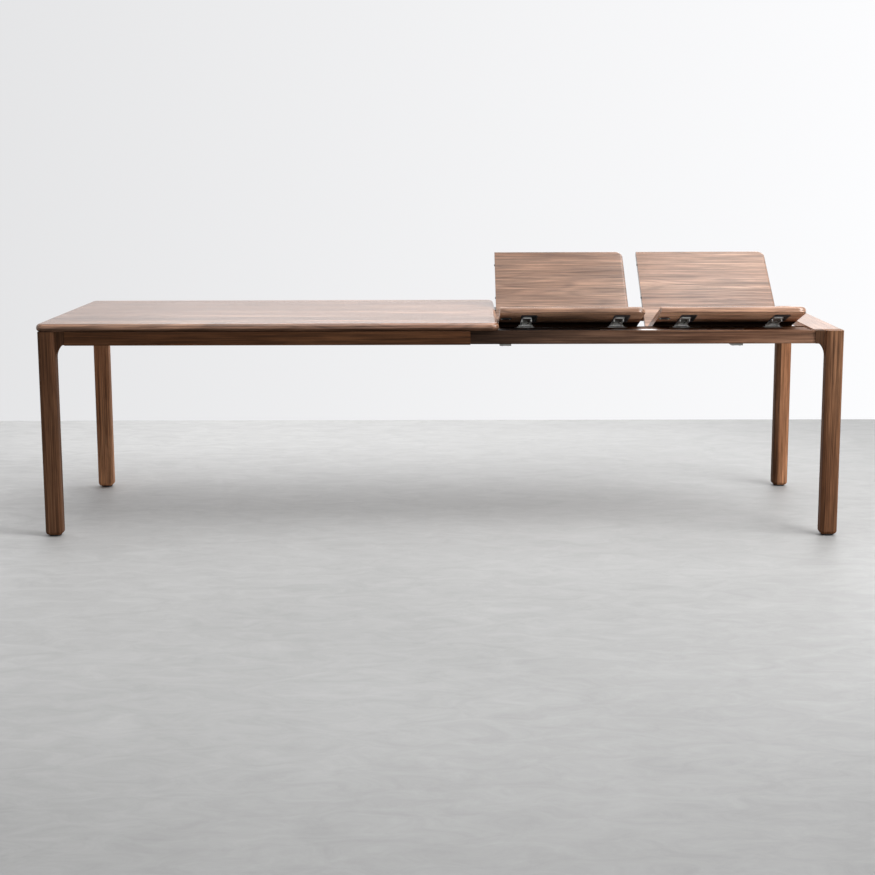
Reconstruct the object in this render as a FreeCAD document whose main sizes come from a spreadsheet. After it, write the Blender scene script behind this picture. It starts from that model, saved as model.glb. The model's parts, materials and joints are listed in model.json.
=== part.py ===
import FreeCAD, Part
import math
import os
import re
from types import SimpleNamespace

import Sketcher

# Extending dining table with two folding leaves, drawn as it stands half set up:
# the end frame is pulled right out and each leaf stands open like a book.
# X runs along the table, Y from the front to the back and Z up. The origin is on
# the floor, under the middle of the pulled-out table. Sizes are in millimetres.

SIZES = [
    ("table_height", 750, "floor to the upper face of the top"),
    ("top_length", 1600, "length of the fixed top"),
    ("top_depth", 950, "front to back of the fixed top"),
    ("top_thick", 28, "thickness of the fixed top"),
    ("top_corner", 30, "plan radius of the top's corners"),
    ("top_nose", 14, "radius of the top's upper edge"),
    ("top_under_round", 13, "radius of the top's lower edge"),
    ("frame_inset", 2, "frame set in from the top's front and back"),
    ("end_inset", 6, "frame set in from the top's ends"),
    ("slide_gap", 1, "end frame kept below the top's underside"),
    ("leg_side", 60, "side of a leg"),
    ("leg_with_ear", 95, "leg and ear together, along the table"),
    ("ear_run", 19.5, "slope under an ear, along the table"),
    ("ear_rise", 23.2, "slope under an ear, upwards"),
    ("ear_lower_curve", 58, "radius from the leg into the slope under its ear"),
    ("ear_upper_curve", 18, "radius from that slope into the ear's underside"),
    ("ear_setback", 16, "ear's outer face behind the leg's"),
    ("leg_round", 15, "radius of a leg's upright edges"),
    ("leg_foot_round", 13, "radius round the foot of a leg"),
    ("glide_radius", 23, "radius of a floor glide"),
    ("glide_taper", 2, "glide narrows to the floor by this radius"),
    ("glide_height", 5, "height of a floor glide"),
    ("apron_height", 47, "height of the fixed aprons"),
    ("apron_thick", 20, "thickness of the long aprons"),
    ("apron_setback", 99, "aprons stop this short of the top's right end"),
    ("board_round", 2, "softened edges of aprons, rails and end boards"),
    ("end_board_thick", 22, "thickness of the flat part of an end apron"),
    ("end_web_thick", 30, "thickness of the upright part of an end apron"),
    ("rail_thick", 20, "thickness of the sliding rails"),
    ("rail_gap", 1, "sliding rail behind the apron"),
    ("slide_end_room", 300, "outer slide starts this far from the top's left end"),
    ("slide_width", 66, "width of the outer slide member"),
    ("slide_wall", 2, "sheet thickness of the slide members"),
    ("slide_play", 0.4, "running gap between slide members"),
    ("slide_side_gap", 2.5, "slide to the rail and to the runner"),
    ("slide_lift", 1.5, "slide members that pass over the straps clear them by this"),
    ("slide_setback", 150, "outer slide stops this short of the top's right end"),
    ("slide_member_setback", 93, "each closed member ends this short of the one round it"),
    ("runner_width", 121, "front to back of a runner"),
    ("runner_thick", 20, "thickness of a runner's plank"),
    ("runner_drop", 7, "runner's upper face below the rail's"),
    ("skirt_thick", 18, "thickness of a runner's skirt"),
    ("groove_inset", 24, "middle of the dovetail groove to the runner's inner edge"),
    ("groove_mouth", 34.6, "width of the dovetail groove at its mouth"),
    ("groove_floor", 38.6, "width of the dovetail groove at its floor"),
    ("groove_depth", 8, "depth of the dovetail groove"),
    ("dovetail_play", 0.4, "running gap beside the carriage bar"),
    ("dovetail_lift", 0.2, "running gap under the carriage bar"),
    ("bar_thick", 6.5, "thickness of a carriage bar"),
    ("bar_overhang", 40, "carriage bar runs past a hinge's middle by this"),
    ("strap_width", 40, "width of a strap under rail and runner"),
    ("strap_thick", 6, "thickness of a strap"),
    ("strap_past_top", 22, "first strap's middle, past the top's right end"),
    ("strap_from_end", 269, "second strap's middle, short of the right ears"),
    ("leaf_length", 500, "length of a leaf, along the table"),
    ("leaf_thick", 22, "thickness of a leaf"),
    ("leaf_corner", 30, "plan radius of a leaf's right corners"),
    ("leaf_nose", 11, "radius of a leaf's upper edge"),
    ("leaf_under_round", 2.5, "radius of a leaf's lower edge"),
    ("leaf_gap_top", 3, "first leaf to the fixed top"),
    ("leaf_gap_between", 53, "first leaf to the second"),
    ("leaf_gap_end", 33, "second leaf to the right end board"),
    ("spine_gap", 0.5, "each half of a leaf to the spine's middle plane"),
    ("spine_depth", 2.8, "spine hinge axis below the leaf's upper face"),
    ("spine_chamfer", 2.6, "width of the chamfer along the spine"),
    ("spine_hinge_length", 60, "length of a spine hinge"),
    ("spine_hinge_inset", 70, "outer spine hinges' middles from the leaf's ends"),
    ("spine_plate_thick", 2, "thickness of a spine hinge plate"),
    ("spine_plate_height", 17, "spine hinge plate, from the axis down"),
    ("knuckle_radius", 2.5, "radius of a spine hinge knuckle"),
    ("knuckle_gap", 0.3, "gap between the knuckles, along the pin"),
    ("knuckle_room", 0.5, "wood kept clear of the knuckles"),
    ("spine_pin_radius", 1.2, "radius of a spine hinge pin"),
    ("pin_play", 0.05, "running clearance round a pin or a dowel"),
    ("arm_inset_left", 96, "left hinge arm's middle from the leaf's left end"),
    ("arm_inset_right", 82, "right hinge arm's middle from the leaf's right end"),
    ("arm_width", 41, "width of a hinge arm at its eye"),
    ("arm_tip_width", 34, "width of a hinge arm at its tip"),
    ("arm_length", 125, "hinge arm, from the pivot to its tip"),
    ("arm_thick", 3, "thickness of a hinge arm"),
    ("arm_corner", 6, "radius of a hinge arm's tip corners"),
    ("arm_flange_thick", 2, "thickness of the flanges along an arm"),
    ("arm_flange_depth", 6, "depth of the flanges along an arm"),
    ("arm_flange_start", 10, "flanges start this far from the pivot"),
    ("arm_flange_length", 82, "length of the flanges along an arm"),
    ("arm_eye_radius", 4.2, "outer radius of an arm's eye"),
    ("arm_plate_width", 56, "width of the plate between arm and leaf"),
    ("arm_plate_length", 132, "length of the plate between arm and leaf"),
    ("arm_plate_thick", 2, "thickness of the plate between arm and leaf"),
    ("arm_plate_corner", 8, "corner radius of the plate between arm and leaf"),
    ("arm_plate_lead", 40, "plate runs past the arm's tip by this"),
    ("arm_plate_offset", 7, "plate's middle to the right of the arm's"),
    ("pivot_drop", 8.5, "leaf's underside to the pivot's middle"),
    ("pivot_radius", 2.5, "radius of a pivot pin"),
    ("pivot_head_radius", 3.6, "radius of a pivot pin's riveted ends"),
    ("pivot_head_thick", 1.5, "thickness of a pivot pin's riveted ends"),
    ("base_width", 62, "width of a hinge base"),
    ("base_depth", 30, "front to back of a hinge base"),
    ("base_thick", 2, "thickness of a hinge base's plate"),
    ("ear_gap", 0.3, "gap between a base's ears and the arm"),
    ("ear_thick", 2.5, "thickness of a base's ears"),
    ("ear_radius", 4, "radius of a base's ears"),
    ("lock_length", 40, "length of a lock plate"),
    ("lock_width", 28, "width of a lock plate"),
    ("lock_thick", 3, "thickness of a lock plate"),
    ("lock_slot_length", 18, "length of the slot in a lock plate"),
    ("lock_slot_width", 6, "width of the slot in a lock plate"),
    ("lock_inset", 3, "lock plate from the leaf's left end"),
    ("lock_edge", 108, "lock plate's middle from the leaf's front edge"),
    ("dowel_radius", 4, "radius of a dowel"),
    ("dowel_hold", 22, "length of a dowel in the wood"),
    ("dowel_reach", 2.4, "length of a dowel out of the wood"),
    ("dowel_taper", 1, "dowel's tip narrows by this radius"),
    ("socket_room", 0.5, "socket wider than the dowel by this radius"),
    ("socket_depth", 4, "depth of a dowel's socket"),
    ("rest_length", 40, "length of a rest block, along the table"),
    ("rest_width", 24, "front to back of a rest block"),
    ("rest_inset", 60, "rest block's middle from the runner's inner edge"),
    ("rest_gap", 0.3, "rest block below a flat leaf"),
    ("overrun", 1, "how far a cut runs past the face it starts from"),
    ("leaf_tilt_degrees", 15.5, "front half of a leaf, above level"),
    ("leaf_fold_degrees", 50, "back half of a leaf, up from the plane of the front half"),
]

# Places of the two dowels along a back half, as shares of its depth from the spine.
DOWEL_SHARES = (0.42, 0.84)
# Closed and open, the middle slide member goes half as far as the end frame.
MIDDLE_SLIDE_SHARE = 0.5
# Two edges count as one place within this.
SAME_PLACE = 1e-4

# Heights and lengths that several pieces share, written in the sheet's names
TOP_UNDER = "table_height - top_thick"
APRON_UNDER = TOP_UNDER + " - apron_height"
END_FRAME_TOP = TOP_UNDER + " - slide_gap"
BASE_UNDER = END_FRAME_TOP + " - runner_drop - groove_depth + dovetail_lift + bar_thick"
SLIDE_LENGTH = "top_length - slide_end_room - slide_setback"
RAIL_LENGTH = f"{SLIDE_LENGTH} + slide_setback + 2 * slide_member_setback - end_inset - leg_with_ear"
KNUCKLE_LENGTH = "spine_hinge_length / 3 - knuckle_gap"

X_AXIS = FreeCAD.Vector(1, 0, 0)
Y_AXIS = FreeCAD.Vector(0, 1, 0)
Z_AXIS = FreeCAD.Vector(0, 0, 1)
ALONG_X = FreeCAD.Rotation(Y_AXIS, 90)
HALF_TURN = FreeCAD.Rotation(Z_AXIS, 180)
UNTURNED = FreeCAD.Rotation()

doc = FreeCAD.newDocument("ExtendingTable")
sheet = doc.addObject("Spreadsheet::Sheet", "Sizes")
for row, (alias, number, meaning) in enumerate(SIZES, start=1):
    sheet.set(f"A{row}", meaning)
    sheet.set(f"B{row}", str(number))
    sheet.setAlias(f"B{row}", alias)
doc.recompute()
size = SimpleNamespace(**{alias: float(sheet.get(alias)) for alias, _, _ in SIZES})
nodes = []


# Drawing helpers

def bound(text):
    """The expression that reads each named size in text from the sheet."""
    return re.sub(r"[a-z_]+", r"Sizes.\g<0>", text)


def place(x, y, z, rotation=UNTURNED):
    return FreeCAD.Placement(FreeCAD.Vector(x, y, z), rotation)


def bind(item, **expressions):
    for name, text in expressions.items():
        item.setExpression(name, bound(text))
    return item


def origin_plane(body, role):
    return next(plane for plane in body.Origin.OriginFeatures if plane.Role == role)


def padded(label, role, corners, length, toward_back=False):
    """A body: a straight-sided outline on one origin plane, padded by length."""
    body = doc.addObject("PartDesign::Body", label)
    body.Label = label
    sketch = body.newObject("Sketcher::SketchObject", label + "_outline")
    sketch.AttachmentSupport = [(origin_plane(body, role), "")]
    sketch.MapMode = "FlatFace"
    count = len(corners)
    ring = [2 * math.pi * step / count for step in range(count)]
    start = [FreeCAD.Vector(math.cos(turn), math.sin(turn), 0) for turn in ring]
    for step in range(count):
        sketch.addGeometry(Part.LineSegment(start[step], start[(step + 1) % count]))
    for step in range(count):
        after = (step + 1) % count
        sketch.addConstraint(Sketcher.Constraint("Coincident", step, 2, after, 1))
    for step, (across, up) in enumerate(corners):
        begin = start[step]
        for kind, text, first in (("DistanceX", across, begin.x), ("DistanceY", up, begin.y)):
            index = sketch.addConstraint(Sketcher.Constraint(kind, -1, 1, step, 1, first))
            sketch.setExpression(f"Constraints[{index}]", bound(text))
    pad = body.newObject("PartDesign::Pad", label + "_pad")
    pad.Profile = sketch
    pad.Reversed = toward_back
    bind(pad, Length=length)
    doc.recompute()
    return body


def step_feature(body, kind, label, at, **expressions):
    """Add or cut a block or a round bar on a body, in the body's own frame."""
    feature = body.newObject("PartDesign::" + kind, label)
    feature.Placement = at
    bind(feature, **expressions)
    doc.recompute()
    return feature


def edge_names(shape, *tests):
    """Names of the edges whose box passes any of the tests."""
    return [
        f"Edge{number}" for number, edge in enumerate(shape.Edges, start=1)
        if any(test(edge.BoundBox) for test in tests)
    ]


def lies(**where):
    """A test for edges that lie in all the named planes, such as z=0."""
    def test(box):
        return all(
            abs(getattr(box, axis.upper() + "Min") - at) < SAME_PLACE
            and abs(getattr(box, axis.upper() + "Max") - at) < SAME_PLACE
            for axis, at in where.items()
        )
    return test


def rounded(body, radius, *tests):
    """Round the edges of a body that pass any of the tests."""
    base = body.Tip
    fillet = body.newObject("PartDesign::Fillet", body.Name + "_round")
    fillet.Base = (base, edge_names(base.Shape, *tests))
    bind(fillet, Radius=radius)
    doc.recompute()
    return body


def block(label, length, width, height, at):
    box = doc.addObject("Part::Box", label)
    box.Placement = at
    return bind(box, Length=length, Width=width, Height=height)


def bar(label, radius, height, at):
    rod = doc.addObject("Part::Cylinder", label)
    rod.Placement = at
    return bind(rod, Radius=radius, Height=height)


def frustum(label, lower, upper, height, at):
    cone = doc.addObject("Part::Cone", label)
    cone.Placement = at
    return bind(cone, Radius1=lower, Radius2=upper, Height=height)


def joined(label, members):
    fuse = doc.addObject("Part::MultiFuse", label)
    fuse.Shapes = members
    return fuse


def less(label, base, tool):
    cut = doc.addObject("Part::Cut", label)
    cut.Base = base
    cut.Tool = tool
    return cut


def group(label, members):
    """Separate solids that share one node."""
    compound = doc.addObject("Part::Compound", label)
    compound.Links = members
    return compound


def node(item, label, at=None):
    """Name a finished sub-part and put it in its place."""
    item.Label = label
    if at is not None:
        item.Placement = at
    nodes.append(item)
    return item


# Places that the pieces share, left to right, front to back and upwards

# The end frame is pulled out until both leaves fit between it and the fixed top.
leaf_room = size.leaf_gap_top + 2 * size.leaf_length + size.leaf_gap_between + size.leaf_gap_end
extension = leaf_room + size.leg_with_ear + size.end_inset

left_end = -(size.top_length + extension - size.end_inset) / 2
top_right = left_end + size.top_length
frame_left = left_end + size.end_inset
frame_right = -left_end
apron_left = frame_left + size.leg_with_ear
ears_right = frame_right - size.leg_with_ear
leaf_starts = [top_right + size.leaf_gap_top]
leaf_starts.append(leaf_starts[0] + size.leaf_length + size.leaf_gap_between)

outer_slide_left = left_end + size.slide_end_room
middle_slide_left = outer_slide_left - size.slide_member_setback + MIDDLE_SLIDE_SHARE * extension
inner_slide_left = outer_slide_left - 2 * size.slide_member_setback + extension

frame_front = -(size.top_depth / 2 - size.frame_inset)
rail_front = frame_front + size.apron_thick + size.rail_gap
slide_front = rail_front + size.rail_thick + size.slide_side_gap
runner_front = slide_front + size.slide_width + size.slide_side_gap
runner_inner = runner_front + size.runner_width
pivot_y = runner_inner - size.groove_inset

top_under = size.table_height - size.top_thick
apron_under = top_under - size.apron_height
end_frame_top = top_under - size.slide_gap
runner_top = end_frame_top - size.runner_drop
bar_under = runner_top - size.groove_depth + size.dovetail_lift
base_under = bar_under + size.bar_thick
leaf_under = size.table_height - size.leaf_thick
spine_z = size.table_height - size.spine_depth
pivot_z = leaf_under - size.pivot_drop

# A leaf is drawn lying flat. Its front half turns about the pivots, and its back
# half turns with it and also about the spine.
tilted = FreeCAD.Placement(
    FreeCAD.Vector(), FreeCAD.Rotation(X_AXIS, -size.leaf_tilt_degrees), FreeCAD.Vector(0, pivot_y, pivot_z)
)
folded = tilted.multiply(FreeCAD.Placement(
    FreeCAD.Vector(), FreeCAD.Rotation(X_AXIS, size.leaf_fold_degrees), FreeCAD.Vector(0, 0, spine_z)
))


# Legs, aprons and the fixed top

def leg(label, head, outer_y, at):
    """A square leg with an ear at its head, drawn with the ear towards +X.

    The outer face is at outer_y, and the ear stands back from it.
    """
    body = padded(label, "XZ_Plane", [
        ("0", "glide_height"),
        ("leg_side", "glide_height"),
        ("leg_side", APRON_UNDER + " - ear_rise"),
        ("leg_side + ear_run", APRON_UNDER),
        ("leg_with_ear", APRON_UNDER),
        ("leg_with_ear", head),
        ("0", head),
    ], "leg_side")
    rounded(body, "ear_lower_curve", lies(x=size.leg_side, z=apron_under - size.ear_rise))
    rounded(body, "ear_upper_curve", lies(x=size.leg_side + size.ear_run, z=apron_under))
    inner_y = -size.leg_side - outer_y
    strip_y = min(outer_y, outer_y + math.copysign(size.ear_setback, inner_y - outer_y))
    step_feature(
        body, "SubtractiveBox", label + "_ear_front", place(size.leg_side, strip_y, 0),
        Length="leg_with_ear - leg_side", Width="ear_setback", Height=head,
    )
    rounded(
        body, "leg_round",
        lies(x=0, y=inner_y), lies(x=0, y=outer_y),
        lies(x=size.leg_side, y=inner_y), lies(x=size.leg_side, y=outer_y),
    )
    rounded(body, "leg_foot_round", lies(z=size.glide_height))
    return node(body, label, at)


def glides(label, x):
    """The floor glides under the front and back legs of one frame."""
    feet = []
    for y in (frame_front + size.leg_side / 2, -frame_front - size.leg_side / 2):
        feet.append(frustum(
            f"{label}_{len(feet) + 1}", "glide_radius - glide_taper", "glide_radius", "glide_height",
            place(x, y, 0),
        ))
    return node(group(label, feet), label)


def long_board(label, thick, height, length, at):
    """A board on edge along the table, with softened long edges."""
    body = padded(label, "YZ_Plane", [("0", "0"), (thick, "0"), (thick, height), ("0", height)], length)
    rounded(body, "board_round", lambda box: box.XLength > SAME_PLACE)
    return node(body, label, at)


def end_apron(label, head, at):
    """An end apron: a flat board with an upright web along its outer edge."""
    body = padded(label, "XZ_Plane", [
        ("0", APRON_UNDER),
        ("end_web_thick", APRON_UNDER),
        ("end_web_thick", head + " - end_board_thick"),
        ("leg_with_ear", head + " - end_board_thick"),
        ("leg_with_ear", head),
        ("0", head),
    ], "top_depth - 2 * frame_inset - 2 * leg_side")
    rounded(body, "board_round", lies(x=0, z=apron_under), lies(x=size.end_web_thick, z=apron_under))
    return node(body, label, at)


def fixed_top():
    """The fixed top: rounded corners, a full nose above and a soft edge below."""
    body = padded("main_top", "XY_Plane", [
        ("0", "0"), ("top_length", "0"), ("top_length", "top_depth"), ("0", "top_depth"),
    ], "top_thick")
    rounded(body, "top_corner", lambda box: box.ZLength > SAME_PLACE)
    rounded(body, "top_nose", lies(z=size.top_thick))
    rounded(body, "top_under_round", lies(z=0))
    for number, share in enumerate(DOWEL_SHARES, start=1):
        step_feature(
            body, "SubtractiveCylinder", f"top_socket_{number}",
            place(
                size.top_length - size.socket_depth, (1 + share) * size.top_depth / 2,
                size.top_thick - size.leaf_thick / 2, ALONG_X,
            ),
            Radius="dowel_radius + socket_room", Height="socket_depth + overrun",
        )
    return node(body, "main_top", place(left_end, -size.top_depth / 2, top_under))


# Telescopic slides, rails and runners

def channel(label, nest, bottom, x, side):
    """An inverted channel, nested inside the outer member nest times."""
    inset = f"{nest} * (slide_wall + slide_play)"
    wide = f"slide_width - 2 * {inset}"
    crown = f"{TOP_UNDER} - {inset}"
    body = padded(label, "YZ_Plane", [
        ("0", bottom),
        ("slide_wall", bottom),
        ("slide_wall", crown + " - slide_wall"),
        (wide + " - slide_wall", crown + " - slide_wall"),
        (wide + " - slide_wall", bottom),
        (wide, bottom),
        (wide, crown),
        ("0", crown),
    ], SLIDE_LENGTH)
    nested = nest * (size.slide_wall + size.slide_play)
    middle = side * (-slide_front - size.slide_width / 2)
    return node(body, label, place(x, middle - size.slide_width / 2 + nested, 0))


def runner(label, at):
    """A runner: a plank with a skirt along its outer edge and a dovetail groove."""
    head = END_FRAME_TOP + " - runner_drop"
    middle = "runner_width - groove_inset"
    body = padded(label, "YZ_Plane", [
        ("0", APRON_UNDER),
        ("skirt_thick", APRON_UNDER),
        ("skirt_thick", head + " - runner_thick"),
        ("runner_width", head + " - runner_thick"),
        ("runner_width", head),
        (middle + " + groove_mouth / 2", head),
        (middle + " + groove_floor / 2", head + " - groove_depth"),
        (middle + " - groove_floor / 2", head + " - groove_depth"),
        (middle + " - groove_mouth / 2", head),
        ("0", head),
    ], RAIL_LENGTH)
    return node(body, label, at)


def straps(label):
    """The steel straps that tie rail, slide and runner together from below."""
    across = runner_front + size.skirt_thick - rail_front
    middles = (top_right + size.strap_past_top, ears_right - size.strap_from_end)
    members = []
    for x in middles:
        for y in (rail_front, -rail_front - across):
            members.append(block(
                f"{label}_{len(members) + 1}", "strap_width",
                "rail_thick + 2 * slide_side_gap + slide_width + skirt_thick", "strap_thick",
                place(x - size.strap_width / 2, y, apron_under - size.strap_thick),
            ))
    return node(group(label, members), label)


def rests(label):
    """Blocks on the back runner that carry the back half of a leaf laid flat."""
    y = -runner_inner + size.rest_inset - size.rest_width / 2
    height = f"table_height - leaf_thick - rest_gap - ({END_FRAME_TOP} - runner_drop)"
    members = []
    for start in leaf_starts:
        for x in arm_middles(start):
            members.append(block(
                f"{label}_{len(members) + 1}", "rest_length", "rest_width", height,
                place(x - size.rest_length / 2, y, runner_top),
            ))
    return node(group(label, members), label)


# Leaves: carriage, hinge arms, halves and spine hinges

def arm_middles(start):
    return (start + size.arm_inset_left, start + size.leaf_length - size.arm_inset_right)


def spine_middles(start):
    ends = (start + size.spine_hinge_inset, start + size.leaf_length - size.spine_hinge_inset)
    return (ends[0], sum(ends) / 2, ends[1])


def carriage_bar(leaf, start):
    """A dovetail bar that slides in the runner's groove and carries two hinge bases."""
    label = leaf + "_carriage_bar"
    wide = "groove_floor - 2 * dovetail_play"
    narrow = "(groove_floor - groove_mouth) / 2"
    body = padded(label, "YZ_Plane", [
        ("0", "0"), (wide, "0"), (f"{wide} - {narrow}", "bar_thick"), (narrow, "bar_thick"),
    ], "leaf_length - arm_inset_left - arm_inset_right + 2 * bar_overhang")
    y = pivot_y - size.groove_floor / 2 + size.dovetail_play
    return node(body, label, place(start + size.arm_inset_left - size.bar_overhang, y, bar_under))


def hinge_base(label, x):
    """A hinge base: a plate with two upright ears, bored for the pivot pin."""
    body = padded(label, "XY_Plane", [
        ("-base_width / 2", "-base_depth / 2"), ("base_width / 2", "-base_depth / 2"),
        ("base_width / 2", "base_depth / 2"), ("-base_width / 2", "base_depth / 2"),
    ], "base_thick")
    rise = pivot_z - base_under
    lift = f"table_height - leaf_thick - pivot_drop - ({BASE_UNDER})"
    inner = size.arm_width / 2 + size.ear_gap
    for name, ear_x in (("left", -inner - size.ear_thick), ("right", inner)):
        step_feature(
            body, "AdditiveBox", f"{label}_{name}_web", place(ear_x, -size.ear_radius, 0),
            Length="ear_thick", Width="2 * ear_radius", Height=lift,
        )
        step_feature(
            body, "AdditiveCylinder", f"{label}_{name}_ear", place(ear_x, 0, rise, ALONG_X),
            Radius="ear_radius", Height="ear_thick",
        )
    step_feature(
        body, "SubtractiveCylinder", label + "_bore", place(-size.base_width / 2, 0, rise, ALONG_X),
        Radius="pivot_radius + pin_play", Height="base_width",
    )
    body.Placement = place(x, pivot_y, base_under)
    return body


def pivot_pin(label, x):
    """A pivot pin, riveted over outside both ears of its base."""
    grip = size.arm_width / 2 + size.ear_gap + size.ear_thick
    heads = []
    for name, head_x in (("left", x - grip - size.pivot_head_thick), ("right", x + grip)):
        heads.append(bar(
            f"{label}_{name}_head", "pivot_head_radius", "pivot_head_thick",
            place(head_x, pivot_y, pivot_z, ALONG_X),
        ))
    shank = bar(
        label + "_shank", "pivot_radius", "arm_width + 2 * ear_gap + 2 * ear_thick",
        place(x - grip, pivot_y, pivot_z, ALONG_X),
    )
    return joined(label, heads + [shank])


def hinge_arm(label, x):
    """A hinge arm: a tapered strap with a flange along each side and an eye for the pivot pin."""
    body = padded(label, "XY_Plane", [
        ("-arm_width / 2", "0"), ("-arm_tip_width / 2", "-arm_length"),
        ("arm_tip_width / 2", "-arm_length"), ("arm_width / 2", "0"),
    ], "arm_thick")
    tip = size.arm_tip_width / 2
    rounded(body, "arm_corner", lies(x=-tip, y=-size.arm_length), lies(x=tip, y=-size.arm_length))
    strap_under = leaf_under - size.arm_plate_thick - size.arm_thick
    flange_y = -size.arm_flange_start - size.arm_flange_length
    for name, flange_x in (("left", -tip), ("right", tip - size.arm_flange_thick)):
        step_feature(
            body, "AdditiveBox", f"{label}_{name}_flange", place(flange_x, flange_y, -size.arm_flange_depth),
            Length="arm_flange_thick", Width="arm_flange_length", Height="arm_flange_depth",
        )
    eye = place(-size.arm_width / 2, 0, pivot_z - strap_under, ALONG_X)
    step_feature(body, "AdditiveCylinder", label + "_eye", eye, Radius="arm_eye_radius", Height="arm_width")
    step_feature(
        body, "SubtractiveCylinder", label + "_bore", eye,
        Radius="pivot_radius + pin_play", Height="arm_width",
    )
    body.Placement = place(x, pivot_y, strap_under)
    return body


def arm_plate(label, x):
    """The plate that spreads a hinge arm's load on the leaf."""
    body = padded(label, "XY_Plane", [
        ("-arm_plate_width / 2", "0"), ("arm_plate_width / 2", "0"),
        ("arm_plate_width / 2", "arm_plate_length"), ("-arm_plate_width / 2", "arm_plate_length"),
    ], "arm_plate_thick")
    rounded(body, "arm_plate_corner", lambda box: box.ZLength > SAME_PLACE)
    y = pivot_y - size.arm_length - size.arm_plate_lead
    body.Placement = place(x + size.arm_plate_offset, y, leaf_under - size.arm_plate_thick)
    return body


def lock_plate(leaf, start):
    """A round-ended lock plate with a slot, under the front half's left end."""
    label = leaf + "_lock_plate"
    y = -size.top_depth / 2 + size.lock_edge
    z = leaf_under - size.lock_thick
    near = start + size.lock_inset + size.lock_width / 2
    far = start + size.lock_inset + size.lock_length - size.lock_width / 2
    plate = joined(label + "_oval", [
        block(
            label + "_middle", "lock_length - lock_width", "lock_width", "lock_thick",
            place(near, y - size.lock_width / 2, z),
        ),
        bar(label + "_near_end", "lock_width / 2", "lock_thick", place(near, y, z)),
        bar(label + "_far_end", "lock_width / 2", "lock_thick", place(far, y, z)),
    ])
    slot = block(
        label + "_slot", "lock_slot_length", "lock_slot_width", "lock_thick",
        place((near + far - size.lock_slot_length) / 2, y - size.lock_slot_width / 2, z),
    )
    return node(less(label, plate, slot), label, tilted)


def leaf_half(leaf, name, start, at):
    """Half a leaf: nosed on its outer and right edges, cut for its spine hinges."""
    label = f"{leaf}_{name}_half"
    side = -1 if name == "front" else 1
    sign = "-" if name == "front" else ""
    outer = f"{sign}(top_depth / 2)"
    body = padded(label, "YZ_Plane", [
        (sign + "spine_gap", "0"),
        (outer, "0"),
        (outer, "leaf_thick"),
        (f"{sign}(spine_gap + spine_chamfer)", "leaf_thick"),
        (sign + "spine_gap", "leaf_thick - spine_depth"),
    ], "leaf_length")
    edge_y = side * size.top_depth / 2
    right = size.leaf_length
    rounded(body, "leaf_corner", lies(x=right, y=edge_y))
    near_right = right - size.leaf_corner / 2

    def nosed(z):
        """Edges at this height along the outer edge, the right end and the corner."""
        def test(box):
            level = abs(box.ZMin - z) < SAME_PLACE and abs(box.ZMax - z) < SAME_PLACE
            outside = max(abs(box.YMin), abs(box.YMax)) > abs(edge_y) - SAME_PLACE
            return level and box.XMax > near_right and (outside or box.XMin > near_right)
        return test

    rounded(body, "leaf_nose", nosed(size.leaf_thick))
    rounded(body, "leaf_under_round", nosed(0))
    axis_z = size.leaf_thick - size.spine_depth
    for number, middle in enumerate(spine_middles(0), start=1):
        begin = middle - size.spine_hinge_length / 2
        step_feature(
            body, "SubtractiveCylinder", f"{label}_knuckle_room_{number}",
            place(begin - size.knuckle_room, 0, axis_z, ALONG_X),
            Radius="knuckle_radius + knuckle_room", Height="spine_hinge_length + 2 * knuckle_room",
        )
        low = min(side * size.spine_gap, side * (size.spine_gap + size.spine_plate_thick))
        step_feature(
            body, "SubtractiveBox", f"{label}_mortise_{number}",
            place(begin, low, axis_z - size.spine_plate_height),
            Length="spine_hinge_length", Width="spine_plate_thick", Height="spine_plate_height",
        )
    if name == "back":
        for number, y in enumerate(dowel_places(), start=1):
            step_feature(
                body, "SubtractiveCylinder", f"{label}_dowel_hole_{number}",
                place(-size.overrun, y, size.leaf_thick / 2, ALONG_X),
                Radius="dowel_radius + pin_play", Height="dowel_hold + overrun",
            )
            step_feature(
                body, "SubtractiveCylinder", f"{label}_socket_{number}",
                place(right - size.socket_depth, y, size.leaf_thick / 2, ALONG_X),
                Radius="dowel_radius + socket_room", Height="socket_depth + overrun",
            )
    return node(body, label, at.multiply(place(start, 0, leaf_under)))


def dowel_places():
    return [share * size.top_depth / 2 for share in DOWEL_SHARES]


def spine_plate(label, middle, side, thirds):
    """One plate of a spine hinge, with knuckles on the given thirds of its length."""
    begin = middle - size.spine_hinge_length / 2
    low = min(side * size.spine_gap, side * (size.spine_gap + size.spine_plate_thick))
    clear = size.knuckle_radius + size.knuckle_room
    plate = block(
        label + "_plate", "spine_hinge_length", "spine_plate_thick",
        "spine_plate_height - knuckle_radius - knuckle_room",
        place(begin, low, spine_z - size.spine_plate_height),
    )
    pieces = [plate]
    for third in thirds:
        x = begin + third * size.spine_hinge_length / 3 + size.knuckle_gap / 2
        pieces.append(block(
            f"{label}_web_{third}", KNUCKLE_LENGTH, "spine_plate_thick", "knuckle_radius + knuckle_room",
            place(x, low, spine_z - clear),
        ))
        pieces.append(bar(
            f"{label}_knuckle_{third}", "knuckle_radius", KNUCKLE_LENGTH, place(x, 0, spine_z, ALONG_X),
        ))
    bore = bar(
        label + "_bore", "spine_pin_radius + pin_play", "spine_hinge_length",
        place(begin, 0, spine_z, ALONG_X),
    )
    return less(label, joined(label + "_blank", pieces), bore)


def spine_pin(label, middle):
    begin = middle - size.spine_hinge_length / 2
    return bar(label, "spine_pin_radius", "spine_hinge_length", place(begin, 0, spine_z, ALONG_X))


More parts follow.
